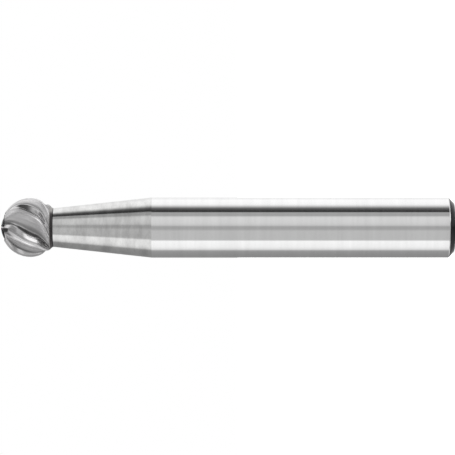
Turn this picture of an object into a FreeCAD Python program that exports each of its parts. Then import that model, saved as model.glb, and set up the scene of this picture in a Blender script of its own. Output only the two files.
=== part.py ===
import FreeCAD, Part
import math
import os

import Sketcher

# Ball burr, modelled standing on the end of its shank. The origin is the
# centre of that end face, and +Z runs along the axis to the tip of the ball.
# Millimetres and degrees.
doc = FreeCAD.newDocument("carbide_burr")

SIZES = {
    # the whole tool, from the shank's end face to the tip of the ball
    "overall_length": 45.0,
    # steel shank: a ground cylinder with a chamfered end and a long taper
    "shank_diameter": 6.0,
    "grip_length": 30.0,
    "end_chamfer_length": 0.55,
    "end_chamfer_depth": 0.6,
    "neck_diameter": 3.84,
    # solder between the neck and the head, flared up to the wider head
    "braze_thickness": 0.3,
    "braze_foot_flare": 0.02,
    # carbide head: a ball, cut flat where it is brazed on
    "head_diameter": 5.85,
    "head_ledge": 0.28,
    # teeth, with angles about the axis counted from one cutting edge to the next
    "tooth_count": 6,
    "edge_angle": 30.6,
    "helix_slope": 0.5,
    "curl_start": 104.0,
    "rear_curl": 0.041,
    "primary_land": 9.0,
    "primary_widening": 0.005,
    "whole_land": 38.5,
    "land_widening": 0.05,
    "land_relief": 0.2,
    # gullets: narrow and shallow from the tip, wide and deep from the equator back
    "gullet_start": 24.0,
    "gullet_deepens": 56.0,
    "gullet_full": 96.0,
    "gullet_start_depth": 0.32,
    "gullet_depth": 0.56,
    "back_wall_start": 4.5,
    "back_wall": 10.5,
    "core_clearance": 0.08,
    # collar that the gullets run out on, behind the teeth
    "collar_height": 0.24,
    "collar_length": 0.4,
    # tip: a shallow recess crossed by the ridges of the long teeth, each with a gash
    "long_teeth": 3,
    "recess_diameter": 2.8,
    "recess_apex_depth": 0.03,
    "recess_rim_depth": 0.42,
    "ridge_width": 0.3,
    "ridge_lead": 0.1,
    "ridge_angle": 0.0,
    "gash_width": 0.45,
    "gash_depth": 0.28,
    "gash_latitude": 27.0,
    "gash_wheel_radius": 2.5,
}

sheet = doc.addObject("Spreadsheet::Sheet", "sizes")
for row, (name, value) in enumerate(SIZES.items(), start=1):
    sheet.set("A%d" % row, name)
    sheet.set("B%d" % row, str(value))
    sheet.setAlias("B%d" % row, name)
doc.recompute()

# Places that follow from the sizes, as expressions on the sheet
BALL_RADIUS = "sizes.head_diameter / 2"
BALL_CENTRE = "(sizes.overall_length - sizes.head_diameter / 2)"
SHANK_RADIUS = "sizes.shank_diameter / 2"
NECK_RADIUS = "sizes.neck_diameter / 2"
HEAD_REAR_RADIUS = "(sizes.neck_diameter / 2 + sizes.head_ledge)"
HEAD_REAR = "(%s - sqrt((%s) ^ 2 - %s ^ 2))" % (BALL_CENTRE, BALL_RADIUS, HEAD_REAR_RADIUS)
NECK_TOP = "(%s - sizes.braze_thickness)" % HEAD_REAR
TIP = "sizes.overall_length"


def size(name):
    """The value of one cell of the sheet."""
    return float(sheet.get(name))


def vector(x, y, z):
    return FreeCAD.Vector(x, y, z)


# Revolved pieces, each from the half outline of its section

ball_radius = size("head_diameter") / 2
ball_centre = size("overall_length") - ball_radius
neck_radius = size("neck_diameter") / 2
head_rear_radius = neck_radius + size("head_ledge")
head_rear = ball_centre - math.sqrt(ball_radius ** 2 - head_rear_radius ** 2)
neck_top = head_rear - size("braze_thickness")

AXIS_INDEX = -2
CROSS_INDEX = -1
START_INDEX, END_INDEX, CENTRE_INDEX = 1, 2, 3


def section_sketch(body):
    """An empty sketch on the body's own XZ plane, where x is the radius."""
    plane = [f for f in body.Origin.OriginFeatures if f.Role == "XZ_Plane"][0]
    sketch = body.newObject("Sketcher::SketchObject", body.Name + "_section")
    sketch.AttachmentSupport = [(plane, "")]
    sketch.MapMode = "FlatFace"
    return sketch


def bind(sketch, constraint, name, expression):
    """Adds a named constraint and ties its value to the sheet."""
    index = sketch.addConstraint(constraint)
    sketch.renameConstraint(index, name)
    sketch.setExpression("Constraints." + name, expression)


def place_corner(sketch, line, corner_name, point, radius_rule, height_rule):
    """Holds the start of a line at its radius and height."""
    if radius_rule is None:
        sketch.addConstraint(Sketcher.Constraint("PointOnObject", line, START_INDEX, AXIS_INDEX))
    else:
        rule = Sketcher.Constraint("DistanceX", CROSS_INDEX, START_INDEX, line, START_INDEX, point[0])
        bind(sketch, rule, corner_name + "_radius", radius_rule)
    if height_rule is None:
        sketch.addConstraint(Sketcher.Constraint("PointOnObject", line, START_INDEX, CROSS_INDEX))
    else:
        rule = Sketcher.Constraint("DistanceY", CROSS_INDEX, START_INDEX, line, START_INDEX, point[1])
        bind(sketch, rule, corner_name + "_height", height_rule)


def turn_outline(sketch, corners):
    """Draws a closed outline of straight lines through named corners."""
    points = [corner[1] for corner in corners]
    count = len(points)
    for i in range(count):
        start = vector(points[i][0], points[i][1], 0)
        end = vector(points[(i + 1) % count][0], points[(i + 1) % count][1], 0)
        sketch.addGeometry(Part.LineSegment(start, end), False)
    for i in range(count):
        sketch.addConstraint(Sketcher.Constraint("Coincident", i, END_INDEX, (i + 1) % count, START_INDEX))
    for i, (name, point, radius_rule, height_rule) in enumerate(corners):
        place_corner(sketch, i, name, point, radius_rule, height_rule)


def revolve(body, sketch):
    """Turns the section a full circle about the tool's axis."""
    turned = body.newObject("PartDesign::Revolution", body.Name + "_turned")
    turned.Profile = sketch
    turned.ReferenceAxis = (sketch, ["V_Axis"])
    turned.Angle = 360
    sketch.Visibility = False
    doc.recompute()
    return turned


def new_body(name):
    body = doc.addObject("PartDesign::Body", name)
    body.Label = name
    return body


# Steel shank: chamfered end, ground cylinder, long taper to the neck

shank_radius = size("shank_diameter") / 2
end_face_radius = shank_radius - size("end_chamfer_depth")

steel_shank = new_body("steel_shank")
shank_section = section_sketch(steel_shank)
turn_outline(shank_section, [
    ("end_centre", (0, 0), None, None),
    ("end_face", (end_face_radius, 0), SHANK_RADIUS + " - sizes.end_chamfer_depth", None),
    ("chamfer_top", (shank_radius, size("end_chamfer_length")), SHANK_RADIUS,
     "sizes.end_chamfer_length"),
    ("taper_foot", (shank_radius, size("grip_length")), SHANK_RADIUS, "sizes.grip_length"),
    ("neck_rim", (neck_radius, neck_top), NECK_RADIUS, NECK_TOP),
    ("neck_centre", (0, neck_top), None, NECK_TOP),
])
revolve(steel_shank, shank_section)

# Braze joint: the thin layer of solder that holds the head on the neck

braze_foot_radius = neck_radius + size("braze_foot_flare")

braze_joint = new_body("braze_joint")
braze_section = section_sketch(braze_joint)
turn_outline(braze_section, [
    ("lower_centre", (0, neck_top), None, NECK_TOP),
    ("lower_rim", (braze_foot_radius, neck_top), NECK_RADIUS + " + sizes.braze_foot_flare",
     NECK_TOP),
    ("upper_rim", (head_rear_radius, head_rear), HEAD_REAR_RADIUS, HEAD_REAR),
    ("upper_centre", (0, head_rear), None, HEAD_REAR),
])
revolve(braze_joint, braze_section)

# Carbide head, first its blank: a ball with a flat where it is brazed on


def draw_ball_section(sketch):
    """Half outline of the ball: the arc, the flat below it and the axis."""
    flat_angle = -math.acos(head_rear_radius / ball_radius)
    circle = Part.Circle(vector(0, ball_centre, 0), vector(0, 0, 1), ball_radius)
    arc = sketch.addGeometry(Part.ArcOfCircle(circle, flat_angle, math.pi / 2), False)
    tip = vector(0, ball_centre + ball_radius, 0)
    flat_centre = vector(0, head_rear, 0)
    axis = sketch.addGeometry(Part.LineSegment(tip, flat_centre), False)
    flat_rim = vector(head_rear_radius, head_rear, 0)
    flat = sketch.addGeometry(Part.LineSegment(flat_centre, flat_rim), False)
    sketch.addConstraint(Sketcher.Constraint("Coincident", arc, END_INDEX, axis, START_INDEX))
    sketch.addConstraint(Sketcher.Constraint("Coincident", axis, END_INDEX, flat, START_INDEX))
    sketch.addConstraint(Sketcher.Constraint("Coincident", flat, END_INDEX, arc, START_INDEX))
    sketch.addConstraint(Sketcher.Constraint("PointOnObject", arc, CENTRE_INDEX, AXIS_INDEX))
    sketch.addConstraint(Sketcher.Constraint("PointOnObject", arc, END_INDEX, AXIS_INDEX))
    sketch.addConstraint(Sketcher.Constraint("PointOnObject", axis, END_INDEX, AXIS_INDEX))
    sketch.addConstraint(Sketcher.Constraint("Horizontal", flat))
    bind(sketch, Sketcher.Constraint("Radius", arc, ball_radius), "ball_radius", BALL_RADIUS)
    centre_rule = Sketcher.Constraint("DistanceY", CROSS_INDEX, START_INDEX, arc, CENTRE_INDEX, ball_centre)
    bind(sketch, centre_rule, "ball_centre", BALL_CENTRE)
    flat_rule = Sketcher.Constraint("DistanceX", CROSS_INDEX, START_INDEX, flat, END_INDEX, head_rear_radius)
    bind(sketch, flat_rule, "flat_radius", HEAD_REAR_RADIUS)


ball_blank = new_body("ball_blank")
ball_section = section_sketch(ball_blank)
draw_ball_section(ball_section)
revolve(ball_blank, ball_section)

# Flutes: each is a cutter lofted through sections at constant height. A place on
# the ball is given by its polar angle from the tip, and an angle about the axis
# that is counted from the -Y side towards +X.

pitch = 360.0 / size("tooth_count")
core_radius = neck_radius + size("core_clearance")


def edge_angle(polar):
    """Angle of a cutting edge: a right-hand helix that curls at the back."""
    behind = max(polar - size("curl_start"), 0.0)
    turn = size("helix_slope") * (polar - 90.0) + size("rear_curl") * behind ** 2
    return size("edge_angle") - turn


def primary_land(polar):
    """Angle that the round part of a land spans: even at the back, wider towards the tip."""
    ahead = max(90.0 - polar, 0.0)
    return size("primary_land") + size("primary_widening") * ahead ** 2


def deepened(polar, start, full):
    """A gullet's size that grows smoothly from its start to its full value."""
    span = size("gullet_full") - size("gullet_deepens")
    reach = min(max((polar - size("gullet_deepens")) / span, 0.0), 1.0)
    return start + (full - start) * reach * reach * (3 - 2 * reach)


def ring_radius(sphere_radius, height):
    """Radius, at a height from the ball's centre, of a sphere about that centre."""
    return math.sqrt(max(sphere_radius ** 2 - height ** 2, 0.0))


def at(radius, angle, height):
    """Point at an angle counted from the -Y side towards +X."""
    turn = math.radians(angle - 90.0)
    return vector(radius * math.cos(turn), radius * math.sin(turn), ball_centre + height)


CUT_PAST = 0.12
CUTTER_REACH = 1.35


def flute_section(polar):
    """Closed outline of what is ground away between two teeth at one height."""
    height = ball_radius * math.cos(math.radians(polar))
    skin = ring_radius(ball_radius, height)
    depth = deepened(polar, size("gullet_start_depth"), size("gullet_depth"))
    back_wall = deepened(polar, size("back_wall_start"), size("back_wall"))
    floor = ring_radius(ball_radius - depth, height)
    if polar > 90.0:
        floor = max(floor, core_radius)
    edge = edge_angle(polar)
    land = size("whole_land") + size("land_widening") * (polar - 90.0)
    land_break = at(skin, edge - primary_land(polar), height)
    heel_radius = ring_radius(ball_radius - size("land_relief"), height)
    heel = at(heel_radius, edge - land, height)
    root = at(floor, edge - land - back_wall, height)
    next_edge = at(skin, edge - pitch, height)
    land_exit = land_break + (land_break - heel) * CUT_PAST
    edge_exit = next_edge + (next_edge - root) * CUT_PAST
    axis_point = vector(0, 0, ball_centre + height)
    outer_edge = axis_point + (edge_exit - axis_point) * CUTTER_REACH
    outer_land = axis_point + (land_exit - axis_point) * CUTTER_REACH
    corners = [land_exit, heel, root, edge_exit, outer_edge, outer_land]
    return Part.makePolygon(corners + [corners[0]])


FLUTE_SECTIONS = 15
flat_height = ball_centre - head_rear
last_height = flat_height + size("collar_length") / 2
last_polar = 180.0 - math.degrees(math.acos(last_height / ball_radius))
first_polar = size("gullet_start")
polar_step = (last_polar - first_polar) / (FLUTE_SECTIONS - 1)

sections = [flute_section(first_polar + polar_step * i) for i in range(FLUTE_SECTIONS)]
flute = Part.makeLoft(sections, True, False)

flute_shapes = []
for tooth in range(int(size("tooth_count"))):
    copy = flute.copy()
    copy.rotate(vector(0, 0, 0), vector(0, 0, 1), pitch * tooth)
    flute_shapes.append(copy)

flute_cutters = doc.addObject("Part::Feature", "flute_cutters")
flute_cutters.Shape = Part.makeCompound(flute_shapes)

# Collar: the flutes stop short of it, so it is taken out of their cutters

collar = doc.addObject("Part::Cylinder", "collar")
collar.setExpression("Radius", NECK_RADIUS + " + sizes.collar_height")
collar.setExpression("Height", "2 * sizes.collar_length")
collar.setExpression("Placement.Base.z", HEAD_REAR + " - sizes.collar_length")


def cut(name, base, tool):
    result = doc.addObject("Part::Cut", name)
    result.Base = base
    result.Tool = tool
    return result


flutes_above_collar = cut("flutes_above_collar", flute_cutters, collar)
fluted_ball = cut("fluted_ball", ball_blank, flutes_above_collar)

# Tip recess: a flat cone in place of the cap of the ball, less the ridges of the long teeth

recess_radius = size("recess_diameter") / 2
tip_height = size("overall_length")
recess_apex = tip_height - size("recess_apex_depth")
recess_rim = tip_height - size("recess_rim_depth")
clear_height = tip_height + size("recess_rim_depth")
CLEAR_HEIGHT = TIP + " + sizes.recess_rim_depth"

tip_recess = new_body("tip_recess")
recess_section = section_sketch(tip_recess)
turn_outline(recess_section, [
    ("apex", (0, recess_apex), None, TIP + " - sizes.recess_apex_depth"),
    ("rim", (recess_radius, recess_rim), "sizes.recess_diameter / 2",
     TIP + " - sizes.recess_rim_depth"),
    ("rim_top", (recess_radius, clear_height), "sizes.recess_diameter / 2", CLEAR_HEIGHT),
    ("top_centre", (0, clear_height), None, CLEAR_HEIGHT),
])
revolve(tip_recess, recess_section)


def ridge_turn(step):
    """Expression for the direction of a ridge, as a turn about +Z from +X."""
    return "(sizes.ridge_angle - 90 + %d * 360 / sizes.long_teeth)" % step


def tip_ridge(step):
    """Bar from the axis out over the rim of the recess, along one tooth."""
    bar = doc.addObject("Part::Box", "tip_ridge_%d" % (step + 1))
    bar.setExpression("Length", "sizes.recess_diameter")
    bar.setExpression("Width", "sizes.ridge_width")
    bar.setExpression("Height", "4 * sizes.recess_rim_depth")
    turn = ridge_turn(step)
    side = "(sizes.ridge_width / 2 - sizes.ridge_lead)"
    place = "vector({0} * sin({1}); -{0} * cos({1}); {2} - 2 * sizes.recess_rim_depth)"
    place = place.format(side, turn, TIP)
    bar.setExpression("Placement", "placement(%s; rotation(vector(0; 0; 1); %s))" % (place, turn))
    return bar


def tip_gash(step):
    """Slot on the trailing side of a ridge, as a small grinding wheel leaves it."""
    wheel = doc.addObject("Part::Cylinder", "tip_gash_%d" % (step + 1))
    wheel.setExpression("Radius", "sizes.gash_wheel_radius")
    wheel.setExpression("Height", "sizes.gash_width")
    turn = ridge_turn(step)
    lift = "({0} - sizes.gash_depth + sizes.gash_wheel_radius)".format(BALL_RADIUS)
    out = "%s * sin(sizes.gash_latitude)" % lift
    side = "(sizes.ridge_width / 2 - sizes.ridge_lead)"
    place = "vector({0} * cos({1}) + {2} * sin({1}); {0} * sin({1}) - {2} * cos({1}); {3})"
    height = "%s + %s * cos(sizes.gash_latitude)" % (BALL_CENTRE, lift)
    place = place.format(out, turn, side, height)
    wheel.setExpression("Placement", "placement(%s; rotation(%s; 0; 90))" % (place, turn))
    return wheel


long_teeth = range(int(size("long_teeth")))
tip_ridges = doc.addObject("Part::MultiFuse", "tip_ridges")
tip_ridges.Shapes = [tip_ridge(step) for step in long_teeth]
tip_gashes = doc.addObject("Part::MultiFuse", "tip_gashes")
tip_gashes.Shapes = [tip_gash(step) for step in long_teeth]

recess_beside_ridges = cut("recess_beside_ridges", tip_recess, tip_ridges)
recessed_ball = cut("recessed_ball", fluted_ball, recess_beside_ridges)
carbide_head = cut("carbide_head", recessed_ball, tip_gashes)
carbide_head.Label = "carbide_head"
doc.recompute()

# Every object has to be sound before any piece is written

for thing in doc.Objects:
    faults = [state for state in thing.State if state in ("Invalid", "Error")]
    if faults:
        raise RuntimeError("%s failed: %s" % (thing.Name, faults))

pieces = [steel_shank, braze_joint, carbide_head]
for piece in pieces:
    if piece.Shape.isNull() or not piece.Shape.isValid():
        raise RuntimeError("%s has no sound shape" % piece.Label)

blank_volume = ball_blank.Shape.Volume
if not 0.5 * blank_volume < carbide_head.Shape.Volume < blank_volume:
    raise RuntimeError("the flutes take away too much or nothing")

os.makedirs("parts", exist_ok=True)
for piece in pieces:
    piece.Shape.exportStep("parts/%s.step" % piece.Label)
    box = piece.Shape.BoundBox
    print("%s: %d solid, %.4f mm3, z %.3f to %.3f" % (
        piece.Label, len(piece.Shape.Solids), piece.Shape.Volume, box.ZMin, box.ZMax))
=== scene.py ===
import math

import bmesh
import bpy
from mathutils import Matrix, Vector


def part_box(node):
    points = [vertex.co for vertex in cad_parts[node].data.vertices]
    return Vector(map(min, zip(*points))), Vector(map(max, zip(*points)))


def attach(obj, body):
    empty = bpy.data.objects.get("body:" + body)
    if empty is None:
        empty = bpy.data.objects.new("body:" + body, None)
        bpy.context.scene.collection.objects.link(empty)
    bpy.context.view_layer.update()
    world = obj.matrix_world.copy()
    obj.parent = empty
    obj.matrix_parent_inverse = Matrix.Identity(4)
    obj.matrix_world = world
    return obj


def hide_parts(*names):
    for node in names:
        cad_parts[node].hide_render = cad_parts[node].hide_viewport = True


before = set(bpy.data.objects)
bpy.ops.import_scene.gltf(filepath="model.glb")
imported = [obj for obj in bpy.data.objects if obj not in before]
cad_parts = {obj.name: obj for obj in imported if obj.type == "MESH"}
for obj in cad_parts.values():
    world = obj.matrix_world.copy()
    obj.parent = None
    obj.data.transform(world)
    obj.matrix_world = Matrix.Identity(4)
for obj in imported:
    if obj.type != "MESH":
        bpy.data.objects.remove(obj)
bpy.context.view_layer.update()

# A ball burr that stands on the end of its shank, in metres, +Z up to the tip.
# The photograph shows it lying down, so the camera is rolled: the tip is at the
# left of the picture and +X is up in it.

MM = 0.001

# Sizes of the three pieces, read off the frame where it gives them

shank_low, shank_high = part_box("steel_shank")
braze_low, braze_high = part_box("braze_joint")
head_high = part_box("carbide_head")[1]

SHANK_RADIUS = (shank_high.y - shank_low.y) / 2
GRIP_LENGTH = 30.0 * MM
END_CHAMFER_LENGTH = 0.55 * MM
END_CHAMFER_DEPTH = 0.6 * MM
NECK_RADIUS = 1.92 * MM
NECK_TOP = shank_high.z
BRAZE_FOOT_RADIUS = 1.94 * MM
BRAZE_FLARE = 1.4
HEAD_REAR_RADIUS = (braze_high.y - braze_low.y) / 2
HEAD_REAR = braze_high.z
TIP = head_high.z
BALL_RADIUS = 2.925 * MM
BALL_CENTRE = TIP - BALL_RADIUS

# The teeth, in degrees about the axis, counted back from a cutting edge

TEETH = 6
PITCH = 360.0 / TEETH
EDGE_ANGLE = 30.6
HELIX_SLOPE = 0.5
CURL_START = 104.0
REAR_CURL = 0.041
PRIMARY_LAND = 9.0
PRIMARY_WIDENING = 0.005
WHOLE_LAND = 38.5
LAND_WIDENING = 0.05
LAND_RELIEF = 0.2 * MM
GULLET_START = 24.0
GULLET_DEEPENS = 56.0
GULLET_FULL = 96.0
GULLET_START_DEPTH = 0.32 * MM
GULLET_DEPTH = 0.56 * MM
WALL_TURN_START = 4.5
WALL_TURN = 10.5
HEEL_FILLET = 0.05 * MM
ROOT_FILLET = 0.12 * MM
CORE_RADIUS = NECK_RADIUS + 0.08 * MM
COLLAR_RADIUS = NECK_RADIUS + 0.24 * MM
COLLAR_TOP = HEAD_REAR + 0.4 * MM

# The tip, with three of the teeth run in to the centre, a hollow between them and a
# gash beside each

LONG_TEETH = 3
TIP_RADIUS = 2.4 * MM
TIP_DEPTH = 1.425 * MM
RECESS_RADIUS = 1.4 * MM
RECESS_APEX = TIP - 0.03 * MM
RECESS_RIM = TIP - 0.42 * MM
RIDGE_WIDTH = 0.3 * MM
RIDGE_LEAD = 0.1 * MM
GASH_WIDTH = 0.45 * MM
GASH_DEPTH = 0.28 * MM
GASH_LATITUDE = 27.0
GASH_WHEEL = 2.5 * MM
GASH_SLOPE = 0.15 * MM
WALL_BLEND = 0.04 * MM
# painted shade in each hollow of the tip: full up to the first angle from a ridge and gone from
# the second
HOLLOW_TURN = (98.0, 110.0)
# painted shade beside each ridge of the tip, full up to the first value and gone at the second
RIDGE_SHADE_WIDTH = (0.35 * MM, 0.75 * MM)
RIDGE_SHADE_WIDTH_AHEAD = (0.2 * MM, 0.45 * MM)
RIDGE_SHADE_LENGTH = (1.7 * MM, 2.3 * MM)
RIDGE_SHADE_DARKNESS = 0.85

# Columns of vertices across each face of a tooth, back from its edge, and rows along it

PRIMARY_COLUMNS = 10
LAND_COLUMNS = 16
HEEL_COLUMNS = 6
WALL_COLUMNS = 8
ROOT_COLUMNS = 6
RAKE_COLUMNS = 18
TOOTH_COLUMNS = (PRIMARY_COLUMNS + LAND_COLUMNS + HEEL_COLUMNS + WALL_COLUMNS
                 + ROOT_COLUMNS + RAKE_COLUMNS)
HEAD_COLUMNS = TEETH * TOOTH_COLUMNS
# up to this angle from the tip the rows are those of the tip
TIP_ZONE = 45.0
TIP_ROWS = 100
BALL_ROWS = 90
# the shortest length that the head's mesh tells apart
HAIR = 0.01 * MM

# Meshes

TURN_STEPS = 192
BRAZE_STEPS = 8
MERGE_DISTANCE = 0.0001 * MM
TURNED_CREASE = 30.0
HEAD_CREASE = 28.0


# Camera, as the photograph was taken

PHOTO_WIDTH = 455
PIXELS_PER_MM = 10.06
CAMERA_DISTANCE = 283 * MM
AIM_HEIGHT = 22.5 * MM
SENSOR_WIDTH = 36.0


def photo_camera():
    """Camera on the -Y side, rolled so that -Z is to the right and +X is up."""
    data = bpy.data.cameras.new("photo_camera")
    data.sensor_width = SENSOR_WIDTH
    field = PHOTO_WIDTH / PIXELS_PER_MM * MM
    data.lens = SENSOR_WIDTH * CAMERA_DISTANCE / field
    data.clip_start = 0.01
    data.clip_end = 50.0
    data.dof.use_dof = False
    camera = bpy.data.objects.new("photo_camera", data)
    camera.matrix_world = Matrix((
        (0, 1, 0, 0),
        (0, 0, -1, -CAMERA_DISTANCE),
        (-1, 0, 0, AIM_HEIGHT),
        (0, 0, 0, 1),
    ))
    bpy.context.scene.collection.objects.link(camera)
    bpy.context.scene.camera = camera


photo_camera()


# Node helpers


class Nodes:
    """Adds nodes to a tree and links their sockets."""

    def __init__(self, tree):
        self.tree = tree
        self.tree.nodes.clear()

    def add(self, kind, **settings):
        node = self.tree.nodes.new(kind)
        for name, value in settings.items():
            setattr(node, name, value)
        return node

    def link(self, source, target):
        self.tree.links.new(source, target)

    def feed(self, value, socket):
        """Links a socket's output or sets a plain value."""
        if isinstance(value, bpy.types.NodeSocket):
            self.link(value, socket)
        else:
            socket.default_value = value

    def math(self, operation, a, b=None, c=None, clamp=False):
        node = self.add("ShaderNodeMath", operation=operation, use_clamp=clamp)
        for value, socket in zip((a, b, c), node.inputs):
            if value is not None:
                self.feed(value, socket)
        return node.outputs[0]

    def rise(self, value, low, high):
        """Runs from 0 at the low value to 1 at the high one."""
        span = high - low
        return self.math("MULTIPLY_ADD", value, 1 / span, -low / span, clamp=True)

    def ramp(self, value, stops, kind="LINEAR"):
        """Colour ramp through (position, grey or colour) stops."""
        node = self.add("ShaderNodeValToRGB")
        node.color_ramp.interpolation = kind
        elements = node.color_ramp.elements
        while len(elements) < len(stops):
            elements.new(0.5)
        for element, (position, colour) in zip(elements, stops):
            element.position = position
            if not isinstance(colour, tuple):
                colour = (colour,) * 3
            element.color = (*colour, 1.0)
        self.feed(value, node.inputs["Fac"])
        return node.outputs["Color"]

    def steps(self, value, stops, whole):
        """Grey ramp whose stops are given on a scale from 0 to a whole."""
        return self.ramp(value, [(place / whole, grey) for place, grey in stops])

    def mapped(self, source, scale, place=(0, 0, 0)):
        node = self.add("ShaderNodeMapping")
        node.inputs["Scale"].default_value = scale
        node.inputs["Location"].default_value = place
        self.link(source, node.inputs["Vector"])
        return node.outputs["Vector"]

    def noise(self, vector, detail, roughness=0.5):
        node = self.add("ShaderNodeTexNoise")
        node.inputs["Scale"].default_value = 1.0
        node.inputs["Detail"].default_value = detail
        node.inputs["Roughness"].default_value = roughness
        self.link(vector, node.inputs["Vector"])
        return node.outputs["Fac"]

    def mix(self, share, first, second, blend="MIX"):
        """Mixes two colours by a share from 0 to 1."""
        node = self.add("ShaderNodeMix", data_type="RGBA", blend_type=blend)
        self.feed(share, node.inputs["Factor"])
        for value, socket in ((first, node.inputs[6]), (second, node.inputs[7])):
            if isinstance(value, tuple):
                value = (*value, 1.0)
            self.feed(value, socket)
        return node.outputs[2]


# Studio: soft bands of light and shade round the tool, other ones towards its two ends

STUDIO_BANDS = [
    # direction about the axis in degrees, from the camera towards +X, and brightness
    (-180, 0.31), (-151, 0.33), (-129, 0.36), (-106, 0.42), (-99, 0.52), (-95, 0.88),
    (-89, 1.09), (-79, 1.26), (-54, 1.35), (-48.5, 0.70), (-14, 0.70), (-6, 0.52),
    (3, 0.52), (9, 0.81), (18, 0.90), (36, 0.95), (41, 0.88), (46, 0.51), (59.3, 0.51),
    (61.7, 0.045), (70, 0.07), (79, 0.20), (84, 0.48), (94, 1.10), (101, 1.34),
    (125, 1.41), (150, 1.14), (176, 1.01), (180, 0.31),
]
BANDS_TOWARDS_TIP = [
    (-180, 0.80), (-150, 0.40), (-130, 0.10), (-98, 0.10), (-92, 0.38), (-80, 0.42),
    (-72, 1.15), (-55, 1.15), (-45, 0.65), (-28, 1.20), (2, 1.20), (20, 0.72), (45, 0.50),
    (92, 0.50), (108, 1.50), (132, 1.50), (146, 1.05), (170, 1.00), (180, 0.80),
]
BANDS_TOWARDS_SHANK = [
    (-180, 0.42), (-140, 0.60), (-125, 0.95), (-97, 0.95), (-86, 0.45), (-76, 0.80),
    (-66, 0.80), (-58, 0.45), (-20, 0.50), (20, 0.60), (60, 0.60), (85, 1.00), (100, 1.10),
    (150, 1.00), (180, 0.42),
]
# how far a direction rises or falls where the level bands give way to the other two
TIP_BANDS = (0.28, 0.36)
SHANK_BANDS = (0.14, 0.26)
# above this rise the level bands lean over, by this share of a turn for a rise of 1
LEAN_FROM = 0.1
LEAN = 0.14
SOFT_LAMP_TOWARDS = (0.561, -0.505, -0.656)
SOFT_LAMP_INSIDE = 0.974
SOFT_LAMP_OUTSIDE = 0.927
SOFT_LAMP_STRENGTH = 1.85


def studio_world():
    """White to the camera, and bands of light and shade to everything else."""
    world = bpy.data.worlds.new("studio")
    bpy.context.scene.world = world
    world.use_nodes = True
    n = Nodes(world.node_tree)
    direction = n.add("ShaderNodeTexCoord").outputs["Generated"]
    parts = n.add("ShaderNodeSeparateXYZ")
    n.link(direction, parts.inputs[0])
    x, y, z = parts.outputs
    turn = n.math("ARCTAN2", x, n.math("MULTIPLY", y, -1.0))
    share = n.math("MULTIPLY_ADD", turn, 1 / (2 * math.pi), 0.5)
    lean = n.math("MAXIMUM", n.math("SUBTRACT", z, LEAN_FROM), 0.0)
    leaning = n.math("MULTIPLY_ADD", lean, -LEAN, share)
    level, to_tip, to_shank = (
        n.ramp(around, [((angle + 180) / 360, grey) for angle, grey in bands])
        for around, bands in (
            (leaning, STUDIO_BANDS), (share, BANDS_TOWARDS_TIP), (share, BANDS_TOWARDS_SHANK),
        )
    )
    fall = n.math("MULTIPLY", z, -1.0)
    up = n.rise(z, *TIP_BANDS)
    down = n.rise(fall, *SHANK_BANDS)
    bands = n.mix(down, n.mix(up, level, to_tip), to_shank)
    towards = n.add("ShaderNodeVectorMath", operation="DOT_PRODUCT")
    n.link(direction, towards.inputs[0])
    towards.inputs[1].default_value = SOFT_LAMP_TOWARDS
    in_lamp = n.rise(towards.outputs["Value"], SOFT_LAMP_OUTSIDE, SOFT_LAMP_INSIDE)
    light = n.mix(in_lamp, bands, (SOFT_LAMP_STRENGTH,) * 3)
    seen = n.add("ShaderNodeLightPath").outputs["Is Camera Ray"]
    colour = n.mix(seen, light, (1.0, 1.0, 1.0))
    background = n.add("ShaderNodeBackground")
    n.link(colour, background.inputs["Color"])
    output = n.add("ShaderNodeOutputWorld")
    n.link(background.outputs[0], output.inputs["Surface"])


studio_world()

FLOOR_SIZE = 6.0
FLOOR_GREY = 0.8
FLOOR_GLOW = 0.92


def white_floor():
    """Pale floor, which the metal's reflections pass through to the studio's bands."""
    mesh = bpy.data.meshes.new("floor")
    shape = bmesh.new()
    bmesh.ops.create_grid(shape, x_segments=1, y_segments=1, size=FLOOR_SIZE)
    shape.to_mesh(mesh)
    shape.free()
    floor = bpy.data.objects.new("floor", mesh)
    bpy.context.scene.collection.objects.link(floor)
    material = bpy.data.materials.new("white_table")
    material.use_nodes = True
    n = Nodes(material.node_tree)
    table = n.add("ShaderNodeBsdfDiffuse")
    table.inputs["Color"].default_value = (FLOOR_GREY, FLOOR_GREY, FLOOR_GREY, 1)
    glow = n.add("ShaderNodeEmission")
    path = n.add("ShaderNodeLightPath")
    seen = n.math("MULTIPLY", path.outputs["Is Camera Ray"], FLOOR_GLOW)
    n.link(seen, glow.inputs["Strength"])
    lit = n.add("ShaderNodeAddShader")
    n.link(table.outputs[0], lit.inputs[0])
    n.link(glow.outputs[0], lit.inputs[1])
    clear = n.add("ShaderNodeBsdfTransparent")
    surface = n.add("ShaderNodeMixShader")
    n.link(path.outputs["Is Glossy Ray"], surface.inputs[0])
    n.link(lit.outputs[0], surface.inputs[1])
    n.link(clear.outputs[0], surface.inputs[2])
    output = n.add("ShaderNodeOutputMaterial")
    n.link(surface.outputs[0], output.inputs["Surface"])
    mesh.materials.append(material)


white_floor()


# Finish of the carbide, by columns across one tooth: brightness and roughness. The brightness
# holds painted shade on the end of the land next to the heel and on the wall, and a painted glint
# along the heel.

FACE_TONES = [
    (0, 0.60), (7.8, 0.60), (15, 0.55), (20, 0.48), (22.4, 0.28), (24.4, 0.24), (25.2, 0.48),
    (26.2, 0.48), (27.3, 0.42), (41, 0.42), (45, 0.60), (57, 0.60), (58.5, 0.42),
    (62.5, 0.42), (64, 0.60),
]
FACE_ROUGHNESS = [
    (0, 0.46), (3.6, 0.46), (4.8, 0.28), (6.6, 0.28), (7.8, 0.45), (24, 0.46), (25, 0.34),
    (27, 0.34), (28.5, 0.22), (42, 0.22), (46, 0.24), (57, 0.24), (59, 0.38), (64, 0.40),
]
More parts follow.
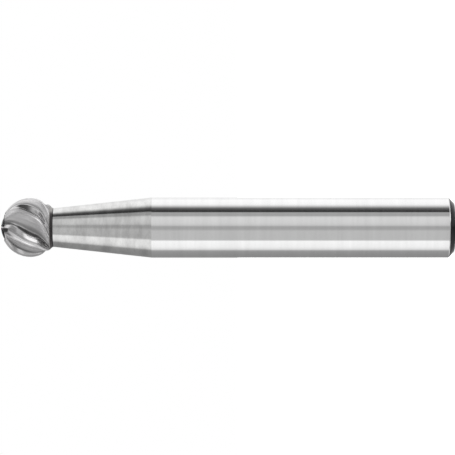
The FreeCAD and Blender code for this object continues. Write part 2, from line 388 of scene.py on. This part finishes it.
# where four strips lie across a tooth
LAND_STRIP = [(0, 1.0), (23.5, 1.0), (24.5, 0.0)]
PAINTED_GLINT_STRIP = [(0, 0.0), (3.6, 0.0), (4.8, 1.0), (6.6, 1.0), (7.8, 0.0)]
WALL_STRIP = [(26.5, 0.0), (27.5, 1.0), (42, 1.0), (45, 0.0)]
FLOOR_STRIP = [(43, 0.0), (46, 1.0), (56.5, 1.0), (58.5, 0.0)]
# brightness of the last three by degrees from the tip: a painted glint along the break of the
# land, painted shade on the wall, and the floor's tone; and the rear part of the wall
PAINTED_GLINT_TONES = [(0, 0.50), (48, 0.50), (66, 0.82), (180, 0.82)]
WALL_PAINTED_SHADE = [(0, 0.60), (63, 0.60), (70, 0.13), (86, 0.13), (95, 0.27), (180, 0.27)]
FLOOR_TONES = [(0, 0.58), (70, 0.52), (90, 0.61), (180, 0.61)]
WALL_REAR = [(0, 0.0), (84, 0.0), (98, 1.0), (180, 1.0)]
# painted light and shade: each tooth's land, and the rear of the wall behind it, is brightened or
# darkened on its own for how the light falls on it
LAND_PAINTED_LIGHT = (1.0, 1.16, 1.0, 1.06, 0.96, 1.24)
WALL_PAINTED_LIGHT = (0.6, 1.0, 0.8, 1.2, 0.9, 1.9)
# painted shade: colour of the tip's hollows, its gashes and the sides of its ridges
HOLLOW_PAINTED_SHADE = (0.06, 0.06, 0.06)

# Finish of the steel and the solder

# painted shade on the end chamfer, for the dark it reflects; the same colour is the heat tint at
# the top of the neck
NECK_OXIDE_AND_END_SHADE_COLOUR = (0.025, 0.025, 0.027)
END_SHADE_WAVER = 0.05 * MM
NECK_BREAK = (GRIP_LENGTH - 0.05 * MM, GRIP_LENGTH + 0.05 * MM)
NECK_HEATED = (NECK_TOP - 0.1 * MM, NECK_TOP - 0.05 * MM)
TURNED_STREAKS = 0.9
QUARTER_TURN = 0.25
LIGHT_SOLDER_COLOUR = (0.38, 0.37, 0.36)
LIGHTER_SOLDER_SIDE = (1.35 * MM, 1.65 * MM)
LIGHTER_SOLDER_RIM = (HEAD_REAR - 0.08 * MM, HEAD_REAR - 0.05 * MM)


# Finishes


def metal(n, colour, roughness, normal, turned=0.0, metallic=1.0):
    """Metal shader. A turned finish streaks its reflections along the axis."""
    shader = n.add("ShaderNodeBsdfPrincipled")
    n.feed(metallic, shader.inputs["Metallic"])
    n.feed(colour, shader.inputs["Base Color"])
    n.feed(roughness, shader.inputs["Roughness"])
    if turned:
        shader.inputs["Anisotropic"].default_value = turned
        shader.inputs["Anisotropic Rotation"].default_value = QUARTER_TURN
        tangent = n.add("ShaderNodeTangent", direction_type="RADIAL", axis="Z")
        n.link(tangent.outputs[0], shader.inputs["Tangent"])
    n.link(normal, shader.inputs["Normal"])
    output = n.add("ShaderNodeOutputMaterial")
    n.link(shader.outputs[0], output.inputs["Surface"])
    return shader


def bump(n, height, depth):
    node = n.add("ShaderNodeBump")
    node.inputs["Distance"].default_value = depth
    node.inputs["Strength"].default_value = 1.0
    n.link(height, node.inputs["Height"])
    return node.outputs[0]


def new_material(name):
    material = bpy.data.materials.new(name)
    material.use_nodes = True
    return material, Nodes(material.node_tree)


def ground_steel():
    """Bright steel with grinding lines round it, a blotchy neck, painted shade over the end
    chamfer, and a dark heat tint at the top of the neck.
    """
    material, n = new_material("ground_steel")
    place = n.add("ShaderNodeTexCoord").outputs["Object"]
    height = n.add("ShaderNodeSeparateXYZ")
    n.link(place, height.inputs[0])
    z = height.outputs["Z"]
    fine = n.noise(n.mapped(place, (260, 260, 9000)), detail=3.0)
    coarse = n.noise(n.mapped(place, (160, 160, 1500)), detail=3.0, roughness=0.6)
    blotches = n.noise(n.mapped(place, (420, 420, 1100), (3, 5, 7)), detail=4.0, roughness=0.65)
    neck = n.rise(z, *NECK_BREAK)
    bright = n.ramp(coarse, [(0.3, (0.66, 0.66, 0.66)), (0.7, (0.71, 0.71, 0.71))])
    worked = n.ramp(blotches, [(0.35, (0.48, 0.478, 0.475)), (0.65, (0.64, 0.64, 0.635))])
    steel = n.mix(neck, bright, worked)
    # painted shade over the end chamfer, with a wavering edge
    dark_edge = n.math("MULTIPLY_ADD", coarse, END_SHADE_WAVER, END_CHAMFER_LENGTH - 0.6 * END_SHADE_WAVER)
    end_shade = n.math("LESS_THAN", z, dark_edge)
    heated = n.rise(z, *NECK_HEATED)
    colour = n.mix(n.math("MAXIMUM", end_shade, heated), steel, NECK_OXIDE_AND_END_SHADE_COLOUR)
    rough = n.ramp(fine, [(0.3, 0.07), (0.7, 0.11)])
    lines = n.math("MULTIPLY_ADD", coarse, 0.6, n.math("MULTIPLY", fine, 0.4))
    metal(n, colour, rough, bump(n, lines, 0.0008 * MM), turned=TURNED_STREAKS)
    return material


def dark_solder():
    """Silver solder, darkened by the heat of brazing, and lighter on its +X side and next to the
    head.
    """
    material, n = new_material("dark_solder")
    place = n.add("ShaderNodeTexCoord").outputs["Object"]
    patches = n.noise(n.mapped(place, (900, 900, 900)), detail=4.0)
    sooty = n.ramp(patches, [(0.35, (0.035, 0.033, 0.034)), (0.7, (0.12, 0.11, 0.11))])
    across = n.add("ShaderNodeSeparateXYZ")
    n.link(place, across.inputs[0])
    side = n.rise(across.outputs["X"], *LIGHTER_SOLDER_SIDE)
    rim = n.rise(across.outputs["Z"], *LIGHTER_SOLDER_RIM)
    colour = n.mix(n.math("MAXIMUM", side, rim), sooty, LIGHT_SOLDER_COLOUR)
    rough = n.ramp(patches, [(0.3, 0.35), (0.7, 0.6)])
    metal(n, colour, rough, bump(n, patches, 0.01 * MM))
    return material


def by_tooth(n, teeth, shades):
    """One grey for each tooth, where the teeth are counted by a socket's value."""
    stops = [(tooth / TEETH, shade) for tooth, shade in enumerate(shades)]
    return n.ramp(n.math("DIVIDE", teeth, TEETH), stops, kind="CONSTANT")


def ground_carbide():
    """Satin carbide with grinding lines along the teeth and brighter polished faces, with painted
    glints, painted shade on the walls and in the tip, and painted light on each tooth.
    """
    material, n = new_material("ground_carbide")
    grain = n.add("ShaderNodeUVMap", uv_map="along_teeth").outputs[0]
    place = n.add("ShaderNodeSeparateXYZ")
    n.link(grain, place.inputs[0])
    across = n.math("FRACT", place.outputs["X"])
    lines = n.noise(n.mapped(grain, (40, 2.0, 1)), detail=4.0, roughness=0.6)
    streaks = n.noise(n.mapped(grain, (15, 1.6, 1), (4, 2, 0)), detail=2.0)
    tone = n.math("MULTIPLY_ADD", lines, 0.35, n.math("MULTIPLY", streaks, 0.65))
    grey = n.ramp(tone, [(0.36, (0.73, 0.72, 0.73)), (0.6, (1.0, 0.99, 0.995))])
    # painted light and shade for each tooth
    land_painted_light = by_tooth(n, place.outputs["X"], LAND_PAINTED_LIGHT)
    wall_painted_light = by_tooth(n, place.outputs["X"], WALL_PAINTED_LIGHT)
    land = n.steps(across, LAND_STRIP, TOOTH_COLUMNS)
    wall = n.steps(across, WALL_STRIP, TOOTH_COLUMNS)
    face = n.steps(across, FACE_TONES, TOOTH_COLUMNS)
    face = n.mix(land, face, land_painted_light, blend="MULTIPLY")
    from_tip = n.math("MULTIPLY", place.outputs["Y"], PITCH / 180.0)
    strips = (
        (PAINTED_GLINT_STRIP, PAINTED_GLINT_TONES), (WALL_STRIP, WALL_PAINTED_SHADE), (FLOOR_STRIP, FLOOR_TONES),
    )
    for strip, tones in strips:
        where = n.steps(across, strip, TOOTH_COLUMNS)
        face = n.mix(where, face, n.steps(from_tip, tones, 180.0))
    rear = n.math("MULTIPLY", wall, n.steps(from_tip, WALL_REAR, 180.0))
    face = n.mix(rear, face, wall_painted_light, blend="MULTIPLY")
    colour = n.mix(1.0, grey, face, blend="MULTIPLY")
    # painted shade in the tip's hollows and gashes and beside its ridges: darker, with the metal's
    # sheen taken away
    cut = n.add("ShaderNodeAttribute", attribute_name="tip_painted_shade").outputs["Fac"]
    colour = n.mix(cut, colour, HOLLOW_PAINTED_SHADE)
    polish = n.steps(across, FACE_ROUGHNESS, TOOTH_COLUMNS)
    rough = n.math("MULTIPLY", polish, n.math("MULTIPLY_ADD", lines, 0.5, 0.75))
    open_face = n.math("SUBTRACT", 1.0, cut)
    bright = n.math("MULTIPLY", n.ramp(rough, [(0.25, 1.0), (0.45, 0.55)]), open_face)
    shader = metal(n, colour, rough, bump(n, lines, 0.001 * MM), metallic=bright)
    n.link(n.math("MULTIPLY", open_face, 0.5), shader.inputs["Specular IOR Level"])
    return material


# Turned pieces


def add_piece(name, mesh, material, node):
    """A finished piece that stands for one node of the frame."""
    piece = bpy.data.objects.new(name, mesh)
    bpy.context.scene.collection.objects.link(piece)
    mesh.materials.append(material)
    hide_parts(node)
    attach(piece, "root")


def turned_mesh(name, outline):
    """Turns an outline of (radius, height) points, closed on the axis, into a mesh."""
    shape = bmesh.new()
    verts = [shape.verts.new((radius, 0, height)) for radius, height in outline]
    edges = [shape.edges.new(pair) for pair in zip(verts, verts[1:])]
    bmesh.ops.spin(shape, geom=verts + edges, cent=(0, 0, 0), axis=(0, 0, 1),
                   angle=2 * math.pi, steps=TURN_STEPS, use_merge=True)
    bmesh.ops.remove_doubles(shape, verts=shape.verts, dist=MERGE_DISTANCE)
    bmesh.ops.recalc_face_normals(shape, faces=shape.faces)
    mesh = bpy.data.meshes.new(name)
    shape.to_mesh(mesh)
    shape.free()
    smooth_by_angle(mesh, TURNED_CREASE)
    return mesh


def smooth_by_angle(mesh, degrees):
    """Smooth shading, with edges sharper than the angle kept crisp."""
    mesh.shade_smooth()
    mesh.set_sharp_from_angle(angle=math.radians(degrees))


def steel_shank():
    """Shank and neck in one, with a small round at each break of the outline."""
    edge = 0.03 * MM
    end_face = SHANK_RADIUS - END_CHAMFER_DEPTH
    outline = [
        (0, 0),
        (end_face - edge, 0),
        (end_face + edge, edge),
        (SHANK_RADIUS - edge, END_CHAMFER_LENGTH - edge),
        (SHANK_RADIUS, END_CHAMFER_LENGTH + edge),
        (SHANK_RADIUS, END_CHAMFER_LENGTH + 3 * edge),
        (SHANK_RADIUS, GRIP_LENGTH / 2),
        (SHANK_RADIUS, GRIP_LENGTH - edge),
        (SHANK_RADIUS - 0.1 * edge, GRIP_LENGTH + edge),
        (NECK_RADIUS, NECK_TOP),
        (0, NECK_TOP),
    ]
    mesh = turned_mesh("shank_steel", outline)
    add_piece("shank_steel", mesh, ground_steel(), "steel_shank")


def braze_joint():
    """Ring of solder with a hollow fillet up to the head's wider back."""
    flare = HEAD_REAR_RADIUS - BRAZE_FOOT_RADIUS
    rise = HEAD_REAR - NECK_TOP
    outline = [(0, NECK_TOP)]
    for i in range(BRAZE_STEPS + 1):
        share = i / BRAZE_STEPS
        radius = BRAZE_FOOT_RADIUS + flare * share ** BRAZE_FLARE
        outline.append((radius, NECK_TOP + rise * share))
    outline.append((0, HEAD_REAR))
    mesh = turned_mesh("solder_ring", outline)
    add_piece("solder_ring", mesh, dark_solder(), "braze_joint")


steel_shank()
braze_joint()


# Carbide head. Its mesh is a ball whose columns follow the teeth, and each vertex
# is then moved to the ground surface.

def edge_angle(polar):
    """Where the first tooth's edge is about the axis, at an angle from the tip."""
    behind = max(polar - CURL_START, 0.0)
    return EDGE_ANGLE - HELIX_SLOPE * (polar - 90.0) - REAR_CURL * behind ** 2


def primary_land(polar):
    """Width in degrees of the narrow land behind the edge, wider towards the tip."""
    return PRIMARY_LAND + PRIMARY_WIDENING * max(90.0 - polar, 0.0) ** 2


def eased(value, low, high):
    """Runs smoothly from 0 at the low value to 1 at the high one."""
    share = min(max((value - low) / (high - low), 0.0), 1.0)
    return share * share * (3 - 2 * share)


def deepened(polar, start, full):
    """Runs from a start near the tip to its full value just behind the ball's middle."""
    return start + (full - start) * eased(polar, GULLET_DEEPENS, GULLET_FULL)


def ring_radius(sphere_radius, height):
    """Radius of a sphere's cross-section at a height from its centre."""
    return math.sqrt(max(sphere_radius ** 2 - height ** 2, 0.0))


def flat_point(radius, angle):
    """Point across the axis, at an angle counted from the -Y side towards +X."""
    turn = math.radians(angle - 90.0)
    return Vector((radius * math.cos(turn), radius * math.sin(turn)))


def fillet(before, corner, after, reach, steps):
    """Points that round a corner off, from one side of it to the other."""
    back = before - corner
    ahead = after - corner
    start = corner + back * min(reach / max(back.length, HAIR), 0.4)
    end = corner + ahead * min(reach / max(ahead.length, HAIR), 0.4)
    points = []
    for i in range(steps + 1):
        share = i / steps
        points.append(start.lerp(corner, share).lerp(corner.lerp(end, share), share))
    return points


def line(start, end, steps):
    """Points from a start, up to but not including an end."""
    return [start.lerp(end, i / steps) for i in range(steps)]


def tooth_section(polar):
    """Cross-section of one tooth and its gullet at one height, back from its edge."""
    height = BALL_RADIUS * math.cos(math.radians(polar))
    skin = ring_radius(BALL_RADIUS, height)
    edge = edge_angle(polar)
    heel_angle = edge - WHOLE_LAND - LAND_WIDENING * (polar - 90.0)
    root_angle = heel_angle - deepened(polar, WALL_TURN_START, WALL_TURN)
    started = min(polar / GULLET_START, 1.0)
    depth = deepened(polar, GULLET_START_DEPTH, GULLET_DEPTH) * started
    floor = ring_radius(BALL_RADIUS - depth, height)
    if polar > 90.0:
        floor = max(floor, CORE_RADIUS)
    primary = primary_land(polar) * started
    land_break = flat_point(skin, edge - primary)
    heel = flat_point(ring_radius(BALL_RADIUS - LAND_RELIEF * started, height), heel_angle)
    root = flat_point(floor, root_angle)
    next_edge = flat_point(skin, edge - PITCH)
    heel_round = fillet(land_break, heel, root, HEEL_FILLET, HEEL_COLUMNS)
    root_round = fillet(heel, root, next_edge, ROOT_FILLET, ROOT_COLUMNS)
    steps = range(PRIMARY_COLUMNS)
    points = [flat_point(skin, edge - primary * i / PRIMARY_COLUMNS) for i in steps]
    points += line(land_break, heel_round[0], LAND_COLUMNS)
    points += heel_round[:-1]
    points += line(heel_round[-1], root_round[0], WALL_COLUMNS)
    points += root_round[:-1]
    points += line(root_round[-1], next_edge, RAKE_COLUMNS)
    return points


def ridge_turn(tooth):
    """Direction of a long tooth's ridge about the axis, in radians from +X."""
    return math.radians(-90.0 + 360.0 / LONG_TEETH * tooth)


def ridge_frame(place, tooth):
    """Distance out along a long tooth's ridge, and to its side, towards its edge."""
    turn = ridge_turn(tooth)
    out = place.x * math.cos(turn) + place.y * math.sin(turn)
    side = -place.x * math.sin(turn) + place.y * math.cos(turn)
    return out, side - RIDGE_LEAD


def clear_of_ridges(place):
    """0 on a ridge of the tip and 1 beside them all."""
    clear = 1.0
    half = RIDGE_WIDTH / 2
    for tooth in range(LONG_TEETH):
        out, side = ridge_frame(place, tooth)
        if out > -half:
            clear = min(clear, eased(abs(side), half, half + WALL_BLEND))
    return clear


def ridge_shade(out, side):
    """Painted shade beside a ridge, from 0 to 1."""
    behind = -RIDGE_WIDTH / 2 - side
    beside = max(behind, side - RIDGE_WIDTH / 2)
    if out <= 0 or beside <= 0:
        return 0.0
    width = RIDGE_SHADE_WIDTH if behind > 0 else RIDGE_SHADE_WIDTH_AHEAD
    beyond = max(eased(beside, *width), eased(out, *RIDGE_SHADE_LENGTH))
    return RIDGE_SHADE_DARKNESS * eased(beside, 0.0, WALL_BLEND) * (1 - beyond)


def gashed(place, tooth):
    """Sinks a point into the gash behind a ridge, and gives how far it is into the gash."""
    out, side = ridge_frame(place, tooth)
    behind = -RIDGE_WIDTH / 2 - side
    if out <= 0 or not 0 < behind < GASH_WIDTH:
        return place, 0.0
    reach = BALL_RADIUS - GASH_DEPTH + GASH_WHEEL
    rise = place.z - BALL_CENTRE
    tilt = math.atan2(out, rise) - math.radians(GASH_LATITUDE)
    under = GASH_WHEEL ** 2 - (reach * math.sin(tilt)) ** 2
    if under <= 0:
        return place, 0.0
    floor = reach * math.cos(tilt) - math.sqrt(under)
    distance = math.hypot(out, rise)
    if floor >= distance:
        return place, 0.0
    into = eased(behind, 0.0, WALL_BLEND) * eased(GASH_WIDTH - behind, 0.0, GASH_SLOPE)
    scale = 1 + (floor / distance - 1) * into
    turn = ridge_turn(tooth)
    centre = Vector((0, 0, BALL_CENTRE))
    outward = Vector((math.cos(turn), math.sin(turn), 0))
    level = place - centre + outward * out * (scale - 1)
    level.z *= scale
    return centre + level, into


def cut_tip(place):
    """Lowers a point of the ball into the tip's hollows and gashes.

    It also gives how much painted shade falls there, in the hollows, the gashes and beside the
    ridges, from 0 to 1.
    """
    radius = math.hypot(place.x, place.y)
    if radius > TIP_RADIUS or place.z < TIP - TIP_DEPTH:
        return place, 0.0
    clear = clear_of_ridges(place)
    if radius < RECESS_RADIUS:
        cone = RECESS_APEX + (RECESS_RIM - RECESS_APEX) * radius / RECESS_RADIUS
        inside = clear * eased(RECESS_RADIUS - radius, 0.0, WALL_BLEND)
        if place.z > cone:
            place = Vector((place.x, place.y, place.z + (cone - place.z) * inside))
    around = math.degrees(math.atan2(place.x, -place.y)) % (360.0 / LONG_TEETH)
    above_rim = eased(place.z - RECESS_RIM, -HAIR, HAIR)
    # painted shade in the hollow between the ridges
    dark = clear * above_rim * (1 - eased(around, *HOLLOW_TURN))
    for tooth in range(LONG_TEETH):
        # painted shade beside each ridge
        dark = max(dark, ridge_shade(*ridge_frame(place, tooth)))
        place, into = gashed(place, tooth)
        # painted shade in the gash
        dark = max(dark, into)
    return place, dark


def row_angles():
    """Angles from the tip for each row of vertices, with two rows at the collar's ledge."""
    rear = math.degrees(math.acos((HEAD_REAR - BALL_CENTRE) / BALL_RADIUS))
    ledge = math.degrees(math.acos((COLLAR_TOP - BALL_CENTRE) / BALL_RADIUS))
    step = (rear - TIP_ZONE) / BALL_ROWS
    angles = [TIP_ZONE * i / TIP_ROWS for i in range(TIP_ROWS)]
    angles += [TIP_ZONE + step * i for i in range(BALL_ROWS + 1)]
    angles = [angle for angle in angles if abs(angle - ledge) > step / 2]
    nick = math.degrees(HAIR / BALL_RADIUS)
    return sorted(angles + [ledge - nick, ledge + nick])


def spun_ball():
    """Ball about the origin, with room for the grain's UVs and the tip's painted shade."""
    shape = bmesh.new()
    shape.loops.layers.uv.new("along_teeth")
    shape.verts.layers.float.new("tip_painted_shade")
    meridian = []
    for polar in row_angles():
        turn = math.radians(polar)
        rise = BALL_RADIUS * math.cos(turn)
        meridian.append(shape.verts.new((BALL_RADIUS * math.sin(turn), 0, rise)))
    seam = [shape.edges.new(pair) for pair in zip(meridian, meridian[1:])]
    bmesh.ops.spin(shape, geom=meridian + seam, cent=(0, 0, 0), axis=(0, 0, -1),
                   angle=2 * math.pi, steps=HEAD_COLUMNS, use_merge=True)
    bmesh.ops.remove_doubles(shape, verts=shape.verts, dist=MERGE_DISTANCE)
    return shape


def spots_on(shape):
    """Each vertex's angle from the tip and its column."""
    spots = {}
    for vert in shape.verts:
        radius = math.hypot(vert.co.x, vert.co.y)
        polar = math.degrees(math.atan2(radius, vert.co.z))
        turn = math.degrees(math.atan2(-vert.co.y, vert.co.x)) % 360.0
        spots[vert] = (polar, round(turn / 360.0 * HEAD_COLUMNS) % HEAD_COLUMNS)
    return spots


def lay_grain(shape, spots):
    """UVs that count the teeth one way, and pitches from the tip the other."""
    grain = shape.loops.layers.uv["along_teeth"]
    for face in shape.faces:
        columns = [spots[loop.vert][1] for loop in face.loops]
        wraps = max(columns) - min(columns) > HEAD_COLUMNS / 2
        middle = sum(columns) / len(columns)
        for loop in face.loops:
            polar, column = spots[loop.vert]
            if wraps and column < HEAD_COLUMNS / 2:
                column += HEAD_COLUMNS
            # the vertex at the tip is in every column
            if polar < 0.01:
                column = middle
            loop[grain].uv = (column / TOOTH_COLUMNS, polar / PITCH)


def grind_teeth(shape, spots):
    """Moves each vertex of the ball to the ground surface, at the head's height."""
    hollow = shape.verts.layers.float["tip_painted_shade"]
    sections = {}
    for vert, (polar, column) in spots.items():
        tooth, share = divmod(column, TOOTH_COLUMNS)
        row = round(polar, 3)
        if row not in sections:
            sections[row] = tooth_section(polar)
        across = sections[row][share]
        height = BALL_CENTRE + BALL_RADIUS * math.cos(math.radians(polar))
        if height < COLLAR_TOP:
            across = across.normalized() * max(across.length, COLLAR_RADIUS)
        turned = Matrix.Rotation(-math.radians(PITCH) * tooth, 2) @ across
        vert.co, vert[hollow] = cut_tip(Vector((turned.x, turned.y, height)))


def carbide_head():
    """Ball with its teeth ground in, its tip cut and its back closed."""
    shape = spun_ball()
    spots = spots_on(shape)
    lay_grain(shape, spots)
    grind_teeth(shape, spots)
    rim = [edge for edge in shape.edges if edge.is_boundary]
    bmesh.ops.contextual_create(shape, geom=rim)
    bmesh.ops.recalc_face_normals(shape, faces=shape.faces)
    mesh = bpy.data.meshes.new("head_carbide")
    shape.to_mesh(mesh)
    shape.free()
    smooth_by_angle(mesh, HEAD_CREASE)
    add_piece("head_carbide", mesh, ground_carbide(), "carbide_head")


carbide_head()

bpy.context.scene.view_settings.view_transform = "Standard"
